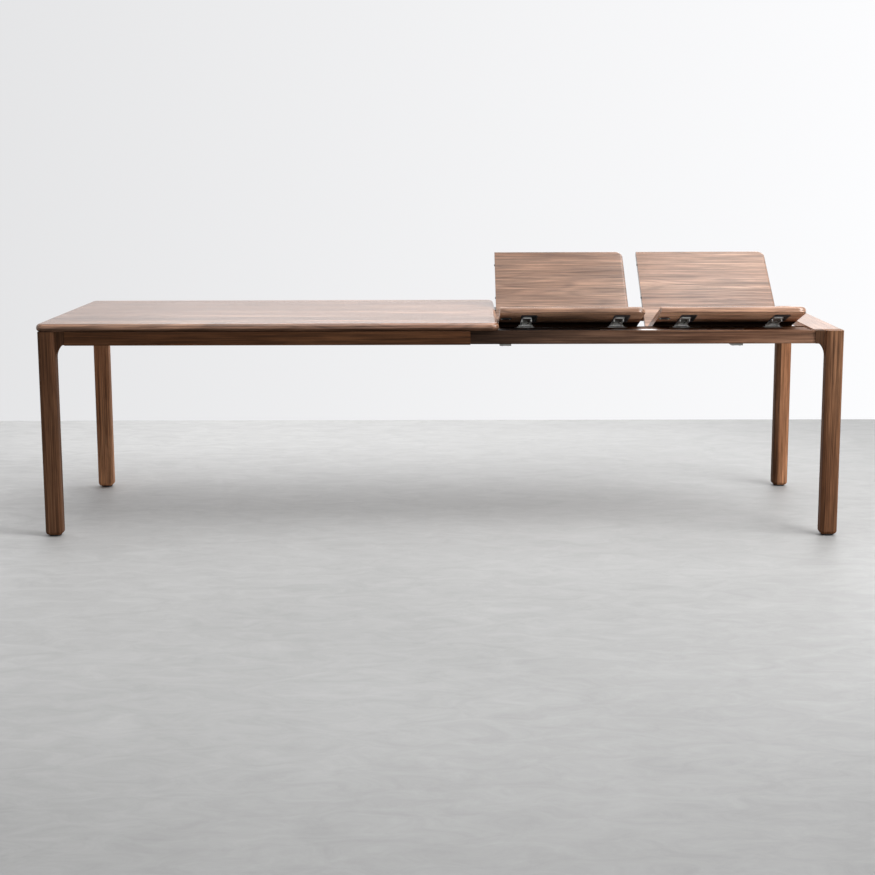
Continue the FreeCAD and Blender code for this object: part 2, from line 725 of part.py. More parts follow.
def dowel(label, start, y):
    """A dowel that stands out of the leaf's left end, with a tapered tip."""
    z = leaf_under + size.leaf_thick / 2
    shank = bar(label + "_shank", "dowel_radius", "dowel_hold", place(start, y, z, ALONG_X))
    tip = frustum(
        label + "_tip", "dowel_radius - dowel_taper", "dowel_radius", "dowel_reach",
        place(start - size.dowel_reach, y, z, ALONG_X),
    )
    return joined(label, [shank, tip])


def numbered(leaf, name, make, places):
    """One node that holds a like piece at each of the places."""
    label = f"{leaf}_{name}"
    return group(label, [make(f"{label}_{number}", at) for number, at in enumerate(places, start=1)])


def folding_leaf(leaf, start):
    arms = arm_middles(start)
    spines = spine_middles(start)
    carriage_bar(leaf, start)
    node(numbered(leaf, "hinge_bases", hinge_base, arms), leaf + "_hinge_bases")
    node(numbered(leaf, "pivot_pins", pivot_pin, arms), leaf + "_pivot_pins")
    leaf_half(leaf, "front", start, tilted)
    node(numbered(leaf, "hinge_arms", hinge_arm, arms), leaf + "_hinge_arms", tilted)
    node(numbered(leaf, "arm_plates", arm_plate, arms), leaf + "_arm_plates", tilted)
    lock_plate(leaf, start)
    front_plates = numbered(
        leaf, "spine_plates_front", lambda label, x: spine_plate(label, x, -1, (0, 2)), spines,
    )
    node(front_plates, leaf + "_spine_plates_front", tilted)
    node(numbered(leaf, "spine_pins", spine_pin, spines), leaf + "_spine_pins", tilted)
    leaf_half(leaf, "back", start, folded)
    back_plates = numbered(
        leaf, "spine_plates_back", lambda label, x: spine_plate(label, x, 1, (1,)), spines,
    )
    node(back_plates, leaf + "_spine_plates_back", folded)
    dowels = numbered(leaf, "dowels", lambda label, y: dowel(label, start, y), dowel_places())
    node(dowels, leaf + "_dowels", folded)


# The whole table

def main_frame():
    fixed_top()
    leg("leg_front_left", TOP_UNDER, -size.leg_side, place(frame_left, frame_front + size.leg_side, 0))
    leg("leg_back_left", TOP_UNDER, 0, place(frame_left, -frame_front, 0))
    glides("glides_left", frame_left + size.leg_side / 2)
    end_apron("end_apron_left", TOP_UNDER, place(frame_left, -frame_front - size.leg_side, 0))
    length = "top_length - apron_setback - end_inset - leg_with_ear"
    for name, y in (("front", frame_front), ("back", -frame_front - size.apron_thick)):
        long_board(f"apron_{name}", "apron_thick", "apron_height", length, place(apron_left, y, apron_under))


def slides():
    raised = APRON_UNDER + " + slide_lift"
    for name, side in (("front", -1), ("back", 1)):
        channel(f"slide_outer_{name}", 0, raised, outer_slide_left, side)
        channel(f"slide_middle_{name}", 1, raised, middle_slide_left, side)
        channel(f"slide_inner_{name}", 2, APRON_UNDER, inner_slide_left, side)


def end_frame():
    back_inner = -frame_front - size.leg_side
    leg("leg_front_right", END_FRAME_TOP, 0, place(frame_right, frame_front, 0, HALF_TURN))
    leg("leg_back_right", END_FRAME_TOP, -size.leg_side, place(frame_right, back_inner, 0, HALF_TURN))
    glides("glides_right", frame_right - size.leg_side / 2)
    end_apron("end_apron_right", END_FRAME_TOP, place(frame_right, frame_front + size.leg_side, 0, HALF_TURN))
    for name, y in (("front", rail_front), ("back", -rail_front - size.rail_thick)):
        at = place(inner_slide_left, y, apron_under)
        long_board(f"rail_{name}", "rail_thick", "apron_height - slide_gap", RAIL_LENGTH, at)
    runner("runner_front", place(inner_slide_left, runner_front, 0))
    runner("runner_back", place(ears_right, -runner_front, 0, HALF_TURN))
    straps("rail_straps")
    rests("leaf_rests")


def check():
    """Stop if any object failed, or any sub-part is empty or not a valid solid."""
    for item in doc.Objects:
        if "Invalid" in item.State or "Error" in item.State:
            raise RuntimeError(f"{item.Label} failed: {item.State}")
    for item in nodes:
        if item.Shape.isNull() or not item.Shape.isValid() or not item.Shape.Solids:
            raise RuntimeError(f"{item.Label} has no valid shape")


main_frame()
slides()
end_frame()
for number, start in enumerate(leaf_starts, start=1):
    folding_leaf(f"leaf_{number}", start)
doc.recompute()
check()
os.makedirs("parts", exist_ok=True)
for item in nodes:
    item.Shape.exportStep(f"parts/{item.Label}.step")
print(len(nodes), "sub-parts")
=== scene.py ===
import json
import math
from typing import NamedTuple

import bpy
import numpy as np
from bpy.props import FloatProperty, FloatVectorProperty, IntProperty, PointerProperty
from mathutils import Matrix, Vector


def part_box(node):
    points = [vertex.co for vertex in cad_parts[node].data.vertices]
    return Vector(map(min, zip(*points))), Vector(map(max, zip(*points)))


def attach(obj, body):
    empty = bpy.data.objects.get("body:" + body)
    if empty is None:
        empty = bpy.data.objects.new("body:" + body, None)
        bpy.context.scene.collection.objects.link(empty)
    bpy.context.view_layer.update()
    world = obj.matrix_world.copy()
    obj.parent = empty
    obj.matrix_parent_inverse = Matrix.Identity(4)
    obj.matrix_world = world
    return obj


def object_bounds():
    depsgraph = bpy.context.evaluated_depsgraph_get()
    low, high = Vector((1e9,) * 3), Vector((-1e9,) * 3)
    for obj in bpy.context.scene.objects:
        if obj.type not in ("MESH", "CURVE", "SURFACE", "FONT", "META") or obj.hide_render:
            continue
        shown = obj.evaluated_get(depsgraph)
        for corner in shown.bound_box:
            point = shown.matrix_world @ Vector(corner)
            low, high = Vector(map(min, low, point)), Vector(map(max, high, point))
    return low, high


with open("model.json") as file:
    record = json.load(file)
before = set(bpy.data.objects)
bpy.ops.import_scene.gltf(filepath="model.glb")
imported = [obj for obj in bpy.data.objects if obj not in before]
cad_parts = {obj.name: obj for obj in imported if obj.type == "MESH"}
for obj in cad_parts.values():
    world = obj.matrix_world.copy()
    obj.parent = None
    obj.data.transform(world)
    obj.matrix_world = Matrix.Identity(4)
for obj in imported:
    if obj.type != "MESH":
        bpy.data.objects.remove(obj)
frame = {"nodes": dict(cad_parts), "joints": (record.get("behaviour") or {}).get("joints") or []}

bl_info = {
    "name": "Extending table dresser",
    "version": (1, 0, 0),
    "blender": (4, 5, 0),
    "location": "View3D > Sidebar > Table",
    "description": "Dresses the packed extending table in walnut, zinc and black steel and sets its stage",
    "category": "Object",
}

CAD_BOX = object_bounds()
LEAVES = ("leaf_1", "leaf_2")

# Hinges of the leaves at rest. A leaf lies flat at the lower limit of its tilt and its fold.

JOINTS = {joint["name"]: joint for joint in frame["joints"]}
PIVOT = Vector(JOINTS["leaf_1_tilt"]["pos_m"])
SPINE = Vector(JOINTS["leaf_1_fold"]["pos_m"])
TILT = math.radians(-JOINTS["leaf_1_tilt"]["range_deg"][0])
FOLD = math.radians(-JOINTS["leaf_1_fold"]["range_deg"][0])

# Hardware that takes the fasteners. While a leaf lies flat, its faces are measured up from the pivot,
# places along its depth from the pivot and places aside from the middle of a hinge.

BASE_WIDTH = 0.062
BASE_THICK = 0.002
BASE_SCREW_INSET = 0.0036
BASE_SCREWS_ALONG = (-0.0095, 0.0095)
ARM_FACE = 0.0035
RIVET_ASIDE = 0.007
RIVETS_ALONG = (-0.034, -0.074)
PLATE_FACE = 0.0065
PLATE_SCREWS = ((0.028, -0.042), (0.028, -0.098), (0.028, -0.156), (-0.013, -0.156))
LOCK_FACE = 0.0055
LOCK_ALONG = -0.103
LOCK_SCREW_INSET = 0.0058
STRAP_WIDTH = 0.040
STRAP_SCREW_ASIDE = 0.011
STRAP_OUTER_INSET = 0.010
STRAP_INNER_INSET = 0.100


# Settings that a user may change

def tone(name, description, colour):
    return FloatVectorProperty(
        name=name, description=description, default=colour, size=3, subtype="COLOR", min=0.0, max=1.0,
    )


def power(name, description, watts):
    return FloatProperty(name=name, description=description, default=watts, min=0.0, unit="POWER")


def share(name, description, default, low=0.0):
    return FloatProperty(
        name=name, description=description, default=default, min=low, max=1.0, subtype="FACTOR",
    )


def radius(name, description, metres):
    return FloatProperty(
        name=name, description=description, default=metres, min=0.001, max=0.02, precision=4, unit="LENGTH",
    )


class WalnutSettings(bpy.types.PropertyGroup):
    heart: tone("Heartwood line", "Darkest growth lines of the walnut", (0.050, 0.023, 0.015))
    body: tone("Body colour", "Common colour of the walnut", (0.190, 0.093, 0.055))
    pale: tone("Pale figure", "Lightest figure between the growth lines", (0.320, 0.180, 0.116))
    frame_tint: tone("Frame tint", "Warmer tint of the legs and rails over the tops", (1.0, 0.87, 0.70))
    # Partly painted sheen: the leaves are tinted greyer, as if more sheen lay on them
    leaf_tint: tone("Leaf tint", "Cooler tint of the leaves over the main top", (0.92, 0.97, 1.0))
    apron_tint: tone("Apron tint", "Redder tint of the aprons over the tops", (1.0, 0.76, 0.52))
    stave: FloatProperty(
        name="Stave width", description="Width of the glued boards in the tops", default=0.11875,
        min=0.03, max=0.5, unit="LENGTH",
    )
    roughness: share("Oil sheen", "Mean roughness of the oiled wood", 0.21, low=0.05)


class MetalSettings(bpy.types.PropertyGroup):
    zinc: tone("Zinc", "Bright zinc of hinges and inner slides", (0.87, 0.87, 0.85))
    # The straps' grey is darkened, partly as painted shade where they lie under the rails
    strap: tone("Dull zinc", "Grey zinc of the straps under the rails", (0.16, 0.16, 0.15))
    black: tone("Black steel", "Coated steel of slides and plates", (0.022, 0.022, 0.025))
    nylon: tone("Nylon", "Black plastic of glides, dowels and rests", (0.018, 0.018, 0.018))


class FastenerSettings(bpy.types.PropertyGroup):
    hinge_screw: radius("Hinge screw", "Radius of the screw heads on hinge bases and lock plates", 0.0027)
    plate_screw: radius("Plate screw", "Radius of the screw heads on the plates under the leaves", 0.0032)
    strap_screw: radius("Strap screw", "Radius of the screw heads on the straps", 0.0045)
    rivet: radius("Rivet", "Radius of the domed rivets on the hinge arms", 0.0042)
    rise: share("Head height", "Height of a head, as a share of its radius", 0.42, low=0.1)
    sides: IntProperty(name="Sides", description="Sides of a round head", default=24, min=12, max=72)


class StageSettings(bpy.types.PropertyGroup):
    floor: tone("Floor", "Colour of the plain floor", (0.40, 0.40, 0.396))
    wall: tone("Backdrop", "Pale colour behind the table", (0.985, 0.987, 1.0))
    overhead: power("Overhead light", "Power of the soft lamp over the table", 94.0)
    key: power("Key light", "Power of the lamp on the right, in front", 135.0)
    softbox: power("Softbox", "Power of the lamp whose sheen lies on the right-hand leaf", 28.0)
    rear: power("Rear light", "Power of the wide lamp behind the table", 100.0)
    front: power("Front light", "Power of the low lamp in front", 40.0)
    fill: share("Fill", "Strength of the even light from the pale walls", 0.95)
    left: share("Left wall", "Brightness of the wall on the left, as a share of that on the right", 0.78)
    dim: share("Dim side", "Light from the viewer's side, as a share of the light from the walls", 0.04)
    mirror: share("Mirrored front", "Brightness of the viewer's side where the table mirrors it", 0.8)


# Node helpers

class Noise(NamedTuple):
    """A soft noise: its scale along the grain and across it, per metre, and how it breaks up."""
    along: float
    across: float
    detail: float
    roughness: float
    distortion: float = 0.0


class Nodes:
    """Short ways to add and join the nodes of one tree."""

    def __init__(self, tree):
        self.tree = tree

    def add(self, kind, **values):
        node = self.tree.nodes.new(kind)
        for key, value in values.items():
            setattr(node, key, value)
        return node

    def feed(self, target, value):
        """Links a socket to a target socket, or sets a plain number or vector on it."""
        if isinstance(value, bpy.types.NodeSocket):
            self.tree.links.new(value, target)
        else:
            target.default_value = value

    def maths(self, operation, first, second=0.0, third=0.0):
        node = self.add("ShaderNodeMath", operation=operation)
        for socket, value in zip(node.inputs, (first, second, third)):
            self.feed(socket, value)
        return node.outputs[0]

    def times(self, first, *others):
        """The product of all values."""
        for other in others:
            first = self.maths("MULTIPLY", first, other)
        return first

    def remapped(self, value, span, levels):
        """A value carried from a span to two levels, and held at them outside the span."""
        node = self.add("ShaderNodeMapRange")
        for socket, number in zip(node.inputs, (value, *span, *levels)):
            self.feed(socket, number)
        return node.outputs[0]

    def mixed(self, amount, first, second, blend="MIX"):
        """Two colours mixed. The node's colours are its sockets 6 and 7, and its output 2."""
        node = self.add("ShaderNodeMix", data_type="RGBA", blend_type=blend)
        self.feed(node.inputs[0], amount)
        self.feed(node.inputs[6], first)
        self.feed(node.inputs[7], second)
        return node.outputs[2]

    def vector(self, operation, first, second):
        node = self.add("ShaderNodeVectorMath", operation=operation)
        self.feed(node.inputs[0], first)
        self.feed(node.inputs[1], second)
        return node.outputs[0]

    def scaled(self, colour, level):
        node = self.add("ShaderNodeVectorMath", operation="SCALE")
        self.feed(node.inputs[0], colour)
        self.feed(node.inputs["Scale"], level)
        return node.outputs[0]

    def split(self, vector):
        node = self.add("ShaderNodeSeparateXYZ")
        self.feed(node.inputs[0], vector)
        return node.outputs["X"], node.outputs["Y"], node.outputs["Z"]

    def clouded(self, vector, noise):
        """A noise on stretched coordinates."""
        node = self.add("ShaderNodeTexNoise")
        stretched = self.vector("MULTIPLY", vector, (noise.along, noise.across, noise.across))
        self.feed(node.inputs["Vector"], stretched)
        self.feed(node.inputs["Scale"], 1.0)
        self.feed(node.inputs["Detail"], noise.detail)
        self.feed(node.inputs["Roughness"], noise.roughness)
        self.feed(node.inputs["Distortion"], noise.distortion)
        return node.outputs["Fac"]

    def bumped(self, shader, height, strength, distance):
        """Raises a shader's surface by a height."""
        node = self.add("ShaderNodeBump")
        self.feed(node.inputs["Strength"], strength)
        self.feed(node.inputs["Distance"], distance)
        self.feed(node.inputs["Height"], height)
        self.feed(shader.inputs["Normal"], node.outputs[0])


def new_material(name):
    """A fresh node material; returns it with its nodes and its shader."""
    material = bpy.data.materials.new(name)
    material.use_nodes = True
    return material, Nodes(material.node_tree), material.node_tree.nodes["Principled BSDF"]


def rgba(colour):
    return (colour[0], colour[1], colour[2], 1.0)


# Walnut. A span is the part of a noise's range that counts, and levels are what its two ends become.

WHOLE = (0.0, 1.0)
NOISE_SPAN = (0.3, 0.7)
STREAK_SPAN = (0.32, 0.68)
SWELL_SPAN = (0.34, 0.66)
PORE_SPAN = (0.60, 0.72)
SWELL = Noise(along=1.3, across=10.0, detail=2.0, roughness=0.5, distortion=0.3)
BANDS = Noise(along=2.4, across=105.0, detail=3.0, roughness=0.65, distortion=0.25)
FIBRE = Noise(along=4.0, across=250.0, detail=3.0, roughness=0.65)
PORES = Noise(along=22.0, across=620.0, detail=1.0, roughness=0.5)
DRIFT = Noise(along=0.8, across=4.0, detail=1.0, roughness=0.5)
STAVE_JUMP = 7.0
LINES_IN_SWELL = 78.0
LINE_SHARPNESS = 2.4
LINE_SHARES = (0.12, 0.5)
BAND_LEVELS = (0.72, 1.26)
FIBRE_LEVELS = (0.46, 1.50)
DARKER_BOARD = 0.20
PALER_BOARD = 0.14
PORE_SHARE = 0.45
DULL_FIBRE = 0.07
GLOSSY_FIBRE = 0.05
BARE_DULLNESS = 0.35
OIL_SHEEN = 0.5
OIL_ON_BANDS = (0.80, 1.20)
OIL_ON_BOARDS = (0.88, 1.12)
FIBRE_RELIEF = 0.5
WOOD_RELIEF = 0.10
WOOD_RELIEF_DEPTH = 0.0006
PLAIN = (1.0, 1.0, 1.0)
# Spans of a normal's upward part: faces that begin to look down, and lips that turn into flat undersides,
# where the colour carries painted shade and light
LOOKS_DOWN = (0.05, -0.35)
LIES_FLAT_BELOW = (-0.80, -0.95)
# Level of the wood inside the painted shadow under each leaf
PAINTED_SHADOW_LEVEL = 0.02


def underside(nodes, normal, across, lip, under, painted_shadow):
    """How bare a face is, from none to all, and the level of the wood there, which paints shade and light on
    faces that look down and a painted shadow under a leaf.
    """
    upward = nodes.split(normal)[2]
    bare = nodes.remapped(upward, LOOKS_DOWN, WHOLE)
    # Painted shade and light by facing: the lip beneath a nose and the flat underside get levels of their
    # own
    level = nodes.remapped(upward, LIES_FLAT_BELOW, (lip, under))
    # Painted shadow: the wood turns nearly black along a strip under the leaf, round its hinges
    if painted_shadow:
        middle, half, edge = painted_shadow
        away = nodes.maths("ABSOLUTE", nodes.maths("SUBTRACT", across, middle))
        level = nodes.times(level, nodes.remapped(away, (half, half + edge), (PAINTED_SHADOW_LEVEL, 1.0)))
    return bare, level


def walnut(name, settings, turn, centre, stave=0.0, shade=1.0, seed=0.0, figure=1.0, dull=0.0, contrast=1.0,
           tint=PLAIN, step=0.0, painted_light_fade=None, lip=1.0, under=1.0, painted_shadow=None):
    """Oiled walnut. Coordinates are turned so that the grain runs along their X axis.

    Each stave shifts the figure and its tone, by chance and by a set step from board to board; on the
    right-hand legs the step is partly tone of the boards and partly painted shade on their inner boards.
    A board may grow paler along its length as painted light: over a span of places, between two levels.
    Growth lines are contours of a noise that is long along the grain, and fibres and pores are much finer
    noises along it. Faces that look down are bare wood without the sheen of the oil, and their colour
    carries painted shade and light: the lip beneath a nose and the flat underside have levels of their own,
    and the underside may bear a painted shadow, a dark strip with a middle, a half width and a soft edge.
    """
    material, nodes, shader = new_material(name)
    where = nodes.add("ShaderNodeTexCoord")
    mapping = nodes.add("ShaderNodeMapping", vector_type="POINT")
    nodes.feed(mapping.inputs["Vector"], where.outputs["Object"])
    nodes.feed(mapping.inputs["Rotation"], turn.to_euler("XYZ"))
    nodes.feed(mapping.inputs["Location"], -(turn @ centre))
    along, across, _ = nodes.split(mapping.outputs[0])
    index = nodes.maths("FLOOR", nodes.maths("DIVIDE", across, stave)) if stave > 0.0 else 0.0
    chance = nodes.add("ShaderNodeTexWhiteNoise", noise_dimensions="1D")
    nodes.feed(chance.inputs["W"], nodes.maths("ADD", index, seed))
    grain = nodes.vector("ADD", mapping.outputs[0], nodes.scaled(chance.outputs["Color"], STAVE_JUMP))

    swell = nodes.clouded(grain, SWELL)
    bands = nodes.clouded(grain, BANDS)
    fibre = nodes.clouded(grain, FIBRE)
    pores = nodes.remapped(nodes.clouded(grain, PORES), PORE_SPAN, WHOLE)
    drift = nodes.clouded(grain, DRIFT)
    waves = nodes.maths("SINE", nodes.times(swell, LINES_IN_SWELL))
    lines = nodes.maths("POWER", nodes.remapped(waves, (-1.0, 1.0), WHOLE), LINE_SHARPNESS)
    line_shares = [figure * line_share for line_share in LINE_SHARES]
    lines = nodes.times(lines, nodes.remapped(drift, NOISE_SPAN, line_shares))
    # Besides the bare share, the underside gives the level that paints shade and light on faces that look
    # down
    bare, below = underside(nodes, where.outputs["Normal"], across, lip, under, painted_shadow)

    board_levels = (1.0 - DARKER_BOARD * contrast, 1.0 + PALER_BOARD * contrast)
    board = nodes.remapped(chance.outputs["Value"], WHOLE, board_levels)
    board = nodes.maths("MULTIPLY_ADD", index, step, board)
    # Painted light: the board grows paler along its length
    if painted_light_fade:
        board = nodes.times(board, nodes.remapped(along, *painted_light_fade))
    level = nodes.times(
        nodes.remapped(bands, STREAK_SPAN, BAND_LEVELS), nodes.remapped(fibre, STREAK_SPAN, FIBRE_LEVELS),
        board, shade, nodes.maths("MULTIPLY_ADD", bare, nodes.maths("SUBTRACT", below, 1.0), 1.0),
    )
    paleness = nodes.remapped(swell, SWELL_SPAN, WHOLE)
    colour = nodes.mixed(paleness, rgba(settings.body), rgba(settings.pale))
    colour = nodes.mixed(lines, colour, rgba(settings.heart))
    colour = nodes.scaled(nodes.mixed(1.0, colour, rgba(tint), "MULTIPLY"), level)
    colour = nodes.mixed(nodes.times(pores, PORE_SHARE), colour, rgba(settings.heart))
    nodes.feed(shader.inputs["Base Color"], colour)

    mean = settings.roughness + dull
    roughness = nodes.remapped(fibre, NOISE_SPAN, (mean + DULL_FIBRE, mean - GLOSSY_FIBRE))
    roughness = nodes.maths("MULTIPLY_ADD", bare, BARE_DULLNESS, roughness)
    nodes.feed(shader.inputs["Roughness"], roughness)
    sheen = nodes.times(
        nodes.remapped(bands, STREAK_SPAN, OIL_ON_BANDS),
        nodes.remapped(chance.outputs["Value"], WHOLE, OIL_ON_BOARDS),
        OIL_SHEEN - dull, nodes.maths("SUBTRACT", 1.0, bare),
    )
    nodes.feed(shader.inputs["Specular IOR Level"], sheen)
    height = nodes.maths("SUBTRACT", nodes.times(fibre, FIBRE_RELIEF), pores)
    nodes.bumped(shader, height, WOOD_RELIEF, WOOD_RELIEF_DEPTH)
    return material


# Metal and nylon

ROLLING_LINES = Noise(along=14.0, across=900.0, detail=2.0, roughness=0.6)
METAL_CLOUDS = Noise(along=26.0, across=26.0, detail=3.0, roughness=0.6)
CLOUD_LEVELS = (0.84, 1.10)
GLOSSY_CLOUD = 0.06
DULL_CLOUD = 0.10
METAL_RELIEF = 0.06
METAL_RELIEF_DEPTH = 0.0003
NYLON_GRIT = Noise(along=900.0, across=900.0, detail=2.0, roughness=0.6)
GRIT_LEVELS = (0.8, 1.25)
GRIT_ROUGHNESS = (0.5, 0.66)
NYLON_RELIEF = 0.2
NYLON_RELIEF_DEPTH = 0.0002


def plated(name, colour, roughness, metallic, brush):
    """Sheet metal: faint rolling lines along X, and small clouds in tone and gloss."""
    material, nodes, shader = new_material(name)
    where = nodes.add("ShaderNodeTexCoord").outputs["Object"]
    lines = nodes.clouded(where, ROLLING_LINES)
    clouds = nodes.clouded(where, METAL_CLOUDS)
    level = nodes.times(
        nodes.remapped(lines, NOISE_SPAN, (1.0 - brush, 1.0 + brush)),
        nodes.remapped(clouds, NOISE_SPAN, CLOUD_LEVELS),
    )
    gloss = nodes.remapped(clouds, NOISE_SPAN, (roughness - GLOSSY_CLOUD, roughness + DULL_CLOUD))
    nodes.feed(shader.inputs["Base Color"], nodes.scaled(colour, level))
    nodes.feed(shader.inputs["Roughness"], gloss)
    nodes.feed(shader.inputs["Metallic"], metallic)
    nodes.bumped(shader, lines, METAL_RELIEF, METAL_RELIEF_DEPTH)
    return material


def moulded(name, colour):
    """Moulded plastic: a fine even grain in tone, gloss and relief."""
    material, nodes, shader = new_material(name)
    grit = nodes.clouded(nodes.add("ShaderNodeTexCoord").outputs["Object"], NYLON_GRIT)
    level = nodes.remapped(grit, NOISE_SPAN, GRIT_LEVELS)
    nodes.feed(shader.inputs["Base Color"], nodes.scaled(colour, level))
    nodes.feed(shader.inputs["Roughness"], nodes.remapped(grit, NOISE_SPAN, GRIT_ROUGHNESS))
    nodes.bumped(shader, grit, NYLON_RELIEF, NYLON_RELIEF_DEPTH)
    return material


def clothe(material, *nodes):
    """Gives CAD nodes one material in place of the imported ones."""
    for node in nodes:
        data = frame["nodes"][node].data
        data.materials.clear()
        data.materials.append(material)


# Turns that bring each piece's grain onto the X axis

ALONG_TABLE = Matrix.Identity(3)
ALONG_DEPTH = Matrix.Rotation(math.radians(-90), 3, "Z")
UPRIGHT = Matrix(((0, 0, 1), (1, 0, 0), (0, 1, 0)))
TILTED = Matrix.Rotation(TILT, 3, "X")
FOLDED = Matrix.Rotation(TILT - FOLD, 3, "X")


# Small fasteners

# Share of the radius, share of the height and whether the ring belongs to the hexagon socket
SCREW_PROFILE = (
    (1.0, 0.0, 0), (1.0, 0.45, 0), (0.88, 0.85, 0), (0.66, 1.0, 0), (0.44, 1.0, 1), (0.44, 0.3, 1),
)
RIVET_PROFILE = ((1.0, 0.0, 0), (0.96, 0.38, 0), (0.80, 0.72, 0), (0.52, 0.94, 0), (0.2, 1.0, 0))
SHARP_EDGE = math.radians(38)
UPWARD = np.eye(3)
DOWNWARD = np.diag((1.0, -1.0, -1.0))
ON_LEAF = np.array(Matrix.Rotation(-TILT, 3, "X"))
UNDER_LEAF = ON_LEAF @ DOWNWARD


def heads(name, profile, places, turn, reach, settings):
    """Screw or rivet heads, all in one mesh.

    A head is a profile turned about its axis: at each angle and each ring of the profile, the
    point lies at the ring's share of the radius and of the height. On the rings of a socket the
    radius also grows towards the six corners, as the inverse cosine of the angle from the middle
    of a flat. A point at each end closes the head, and the head is copied to every place.
    """
    rings = np.array(profile)
    sides = settings.sides
    angle = np.arange(sides) * (2.0 * math.pi / sides)
    corner = math.cos(math.pi / 6) / np.cos(angle % (math.pi / 3) - math.pi / 6)
    spread = rings[:, :1] * np.where(rings[:, 2:] > 0, corner, 1.0) * reach
    rise = reach * settings.rise
    grid = np.stack((
        spread * np.cos(angle), spread * np.sin(angle), np.repeat(rings[:, 1:2] * rise, sides, axis=1),
    ), axis=-1).reshape(-1, 3)
    head = np.concatenate(([(0.0, 0.0, 0.0)], grid, [(0.0, 0.0, rings[-1, 1] * rise)]))
    points = np.asarray(places)[:, None, :] + (head @ turn.T)[None]

    first = np.arange(sides)
    following = (first + 1) % sides
    start = 1 + sides * np.arange(len(rings) - 1)[:, None]
    quads = np.stack((
        start + first, start + following, start + sides + following, start + sides + first,
    ), axis=-1).reshape(-1, 4)
    last = 1 + sides * (len(rings) - 1)
    foot = np.stack((np.zeros(sides, int), 1 + following, 1 + first), axis=-1)
    crown = np.stack((last + first, last + following, np.full(sides, len(head) - 1)), axis=-1)
    offset = len(head) * np.arange(len(points))[:, None, None]
    fans = np.concatenate((foot, crown))
    faces = (quads + offset).reshape(-1, 4).tolist() + (fans + offset).reshape(-1, 3).tolist()
    mesh = bpy.data.meshes.new(name)
    mesh.from_pydata(points.reshape(-1, 3).tolist(), [], faces)
    mesh.polygons.foreach_set("use_smooth", np.ones(len(mesh.polygons), bool))
    mesh.set_sharp_from_angle(angle=SHARP_EDGE)
    piece = bpy.data.objects.new(name, mesh)
    bpy.context.scene.collection.objects.link(piece)
    return piece


def fasten(piece, material, body):
    """Finishes a new piece and hangs it on the body that carries it."""
    piece.data.materials.append(bpy.data.materials[material])
    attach(piece, body)


def hinge_middles(leaf):
    """Middles of a leaf's two hinges, along the table."""
    low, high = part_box(leaf + "_hinge_bases")
    return low[0] + BASE_WIDTH / 2, high[0] - BASE_WIDTH / 2


def tilted_places(offsets):
    """Places on a leaf's front half, from offsets to the pivot while the leaf lies flat."""
    return np.array(offsets) @ ON_LEAF.T + np.array(PIVOT)


def base_screws(leaf, settings):
    """Four screws on the flanges of each hinge base."""
    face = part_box(leaf + "_hinge_bases")[0][2] + BASE_THICK
    flange = BASE_WIDTH / 2 - BASE_SCREW_INSET
    places = [
        (x + side * flange, PIVOT.y + along, face)
        for x in hinge_middles(leaf) for side in (-1, 1) for along in BASE_SCREWS_ALONG
    ]
    piece = heads(leaf + "_base_screws", SCREW_PROFILE, places, UPWARD, settings.hinge_screw, settings)
    fasten(piece, "bright_zinc", leaf + "_carriage")


def plate_screws(leaf, settings):
    """Four screws through each plate between an arm and the leaf."""
    places = tilted_places([
        (x + aside, along, PLATE_FACE) for x in hinge_middles(leaf) for aside, along in PLATE_SCREWS
    ])
    piece = heads(leaf + "_plate_screws", SCREW_PROFILE, places, UNDER_LEAF, settings.plate_screw, settings)
    fasten(piece, "black_steel", leaf + "_front")


def lock_screws(leaf, settings):
    """A screw at each end of the lock plate."""
    low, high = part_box(leaf + "_lock_plate")
    places = tilted_places([
        (x, LOCK_ALONG, LOCK_FACE) for x in (low[0] + LOCK_SCREW_INSET, high[0] - LOCK_SCREW_INSET)
    ])
    piece = heads(leaf + "_lock_screws", SCREW_PROFILE, places, UNDER_LEAF, settings.hinge_screw, settings)
    fasten(piece, "bright_zinc", leaf + "_front")


def strap_screws(settings):
    """Two rows of screws along each strap, into rail and runner at both ends."""
    low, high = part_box("rail_straps")
    places = [
        (x + side * STRAP_SCREW_ASIDE, y, low[2])
        for x in (low[0] + STRAP_WIDTH / 2, high[0] - STRAP_WIDTH / 2) for side in (-1, 1)
        for y in (low[1] + STRAP_OUTER_INSET, low[1] + STRAP_INNER_INSET,
                  high[1] - STRAP_INNER_INSET, high[1] - STRAP_OUTER_INSET)
    ]
    piece = heads("strap_screws", SCREW_PROFILE, places, DOWNWARD, settings.strap_screw, settings)
    fasten(piece, "bright_zinc", "end_frame")


def arm_rivets(leaf, settings):
    """Two rivets through each hinge arm."""
    places = tilted_places([
        (x + RIVET_ASIDE, along, ARM_FACE) for x in hinge_middles(leaf) for along in RIVETS_ALONG
    ])
    piece = heads(leaf + "_arm_rivets", RIVET_PROFILE, places, UNDER_LEAF, settings.rivet, settings)
    fasten(piece, "black_steel", leaf + "_front")


# Operators

# The figure of the main top starts at its front edge, this far below its face
TOP_FIGURE_DEPTH = 0.011
# Painted shadow: a dark strip painted under each leaf, round its hinges, where shade falls: its middle from
# the spine, half its width and its soft edge
PAINTED_SHADOW = (-0.225, 0.050, 0.040)
# Painted light: the front rail is painted paler along the table, towards the lit right-hand end and away
# from the shade of the leaves: from one place to another, between two levels
RAIL_PAINTED_LIGHT = ((0.2, 1.1), (0.15, 0.84))
# Shade and seed of each leaf's halves. The shades are partly painted light: the front halves are painted
# paler than the back halves for the light on their noses, and the right-hand leaf paler than the left for
# the light from the right
FRONT_HALVES = ((1.42, 31.0), (1.68, 40.0))
BACK_HALVES = ((0.96, 71.0), (1.07, 66.0))
# Each leg is glued from boards of one width, and the glue joint lies this far from the end of the table
LEG_BOARD = 0.070
LEG_JOINT = 0.041
FRONT_RIGHT_LEG_JOINT = 0.066


